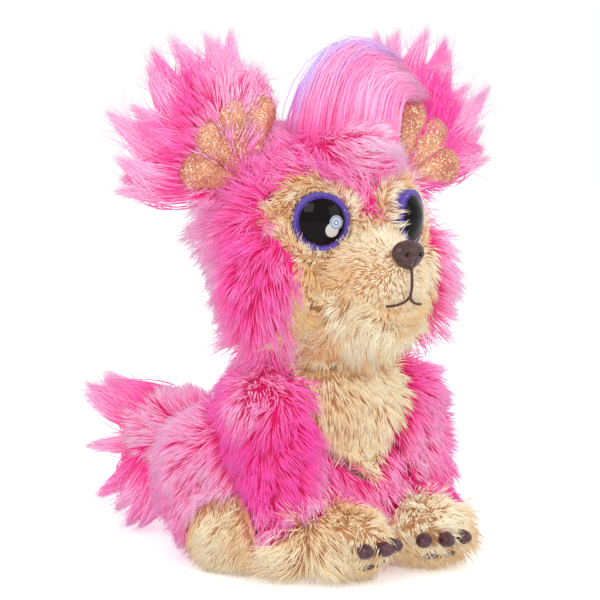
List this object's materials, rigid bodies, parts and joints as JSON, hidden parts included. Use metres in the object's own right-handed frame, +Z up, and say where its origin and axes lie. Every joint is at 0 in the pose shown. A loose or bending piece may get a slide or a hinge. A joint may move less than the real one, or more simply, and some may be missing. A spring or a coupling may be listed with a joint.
{
  "type": "plush robot dog toy",
  "caption": "Sitting plush robot puppy with a pink coat, cream face and paws, gold fan ears, bushy tail, nodding geared head, perking ears and wagging tail.",
  "frame": {"origin": "on the floor in the middle of the battery door under the body", "axes": "+Z up, the puppy looks along -Y, its own left side is +X"},
  "size_m": [0.2794, 0.2622, 0.3019],
  "materials": {
    "pink_plush": "deep pile, magenta at the roots and pale pink at the tips",
    "cream_plush": "short cream pile with tan roots",
    "long_hair": "long silky pink hair",
    "gilt_fabric": "stiff pinkish gold fabric with glitter",
    "casing": "moulded off-white plastic, fine texture",
    "door_plastic": "moulded dark grey plastic",
    "gear_plastic": "natural acetal",
    "dark_gloss": "glossy dark brown moulding",
    "eye_clear": "polished clear dome over a dark pupil",
    "eye_iris": "violet blue metallic print",
    "eye_cup": "dark violet rim",
    "thread": "brown embroidery thread",
    "steel": "plain steel",
    "contact_metal": "sprung contact plates",
    "cell_jacket": "plain dark cell jackets",
    "board_green": "green circuit board",
    "speaker_black": "black paper cone and frame"
  },
  "bodies": {
    "tail": {"tail_arm": "gear_plastic", "tail_fluff": "long_hair"},
    "nod_pinion_body": {"nod_pinion": "gear_plastic"},
    "tail_pinion_body": {"tail_pinion": "gear_plastic"},
    "ear_pinion_body": {"ear_pinion": "gear_plastic"},
    "ear_right": {"ear_lever_right": "gear_plastic", "ear_shell_right": "gilt_fabric", "ear_fluff_right": "long_hair"},
    "ear_left": {"ear_lever_left": "gear_plastic", "ear_shell_left": "gilt_fabric", "ear_fluff_left": "long_hair"},
    "head": {"skull_screws": "steel", "skull_front": "casing", "skull_rear": "casing", "nod_gear": "gear_plastic", "ear_plate": "casing", "ear_plate_screws": "steel", "ear_pins": "steel", "ear_motor": "steel", "head_hood": "pink_plush", "eye_cup_right": "eye_cup", "eye_cup_left": "eye_cup", "iris_right": "eye_iris", "iris_left": "eye_iris", "eye_lens_right": "eye_clear", "eye_lens_left": "eye_clear", "face_panel": "cream_plush", "muzzle": "cream_plush", "nose": "dark_gloss", "mouth_stitch": "thread", "crest": "long_hair"},
    "switch": {"power_switch": "door_plastic"},
    "torso": {"body_screws": "steel", "body_shell_front": "casing", "body_shell_rear": "casing", "nod_axle": "steel", "tail_pin": "steel", "battery_tray": "casing", "battery_door": "door_plastic", "door_screw": "steel", "batteries": "cell_jacket", "battery_contacts": "contact_metal", "circuit_board": "board_green", "speaker": "speaker_black", "switch_case": "casing", "nod_motor": "steel", "tail_motor": "steel", "torso_cover": "pink_plush", "chest_bib": "cream_plush", "thigh_right": "pink_plush", "thigh_left": "pink_plush", "front_leg_right": "pink_plush", "front_leg_left": "pink_plush", "hind_foot_right": "cream_plush", "hind_foot_left": "cream_plush", "front_paw_right": "cream_plush", "front_paw_left": "cream_plush", "claws_right": "dark_gloss", "claws_left": "dark_gloss"}
  },
  "joints": [
    {"name": "head_nod", "type": "hinge", "parent": "torso", "child": "head", "pos_m": [0, 0.005, 0.13], "axis": [1, 0, 0], "range_deg": [-14, 8]},
    {"name": "nod_pinion_spin", "type": "hinge", "parent": "torso", "child": "nod_pinion_body", "pos_m": [0, 0.005, 0.088], "axis": [1, 0, 0], "range_deg": [-50, 86]},
    {"name": "ear_perk_right", "type": "hinge", "parent": "head", "child": "ear_right", "pos_m": [-0.05, 0, 0.212], "axis": [0, 1, 0], "range_deg": [-8, 8]},
    {"name": "ear_perk_left", "type": "hinge", "parent": "head", "child": "ear_left", "pos_m": [0.05, 0, 0.212], "axis": [0, 1, 0], "range_deg": [-8, 8]},
    {"name": "ear_pinion_spin", "type": "hinge", "parent": "head", "child": "ear_pinion_body", "pos_m": [0.00269, 0, 0.19303], "axis": [0, 1, 0], "range_deg": [-67, 67]},
    {"name": "tail_wag", "type": "hinge", "parent": "torso", "child": "tail", "pos_m": [0, 0.06, 0.062], "axis": [0, 0, 1], "range_deg": [-35, 5]},
    {"name": "tail_pinion_spin", "type": "hinge", "parent": "torso", "child": "tail_pinion_body", "pos_m": [0, 0.036, 0.062], "axis": [0, 0, 1], "range_deg": [-16, 106]},
    {"name": "switch_slide", "type": "slide", "parent": "torso", "child": "switch", "axis": [0, 1, 0], "range_m": [0, 0.004]}
  ],
  "couplings": [
    {"joint": "nod_pinion_spin", "follows": "head_nod", "ratio": -6},
    {"joint": "ear_perk_left", "follows": "ear_perk_right", "ratio": -1},
    {"joint": "ear_pinion_spin", "follows": "ear_perk_right", "ratio": -8.3333},
    {"joint": "tail_pinion_spin", "follows": "tail_wag", "ratio": -3}
  ]
}
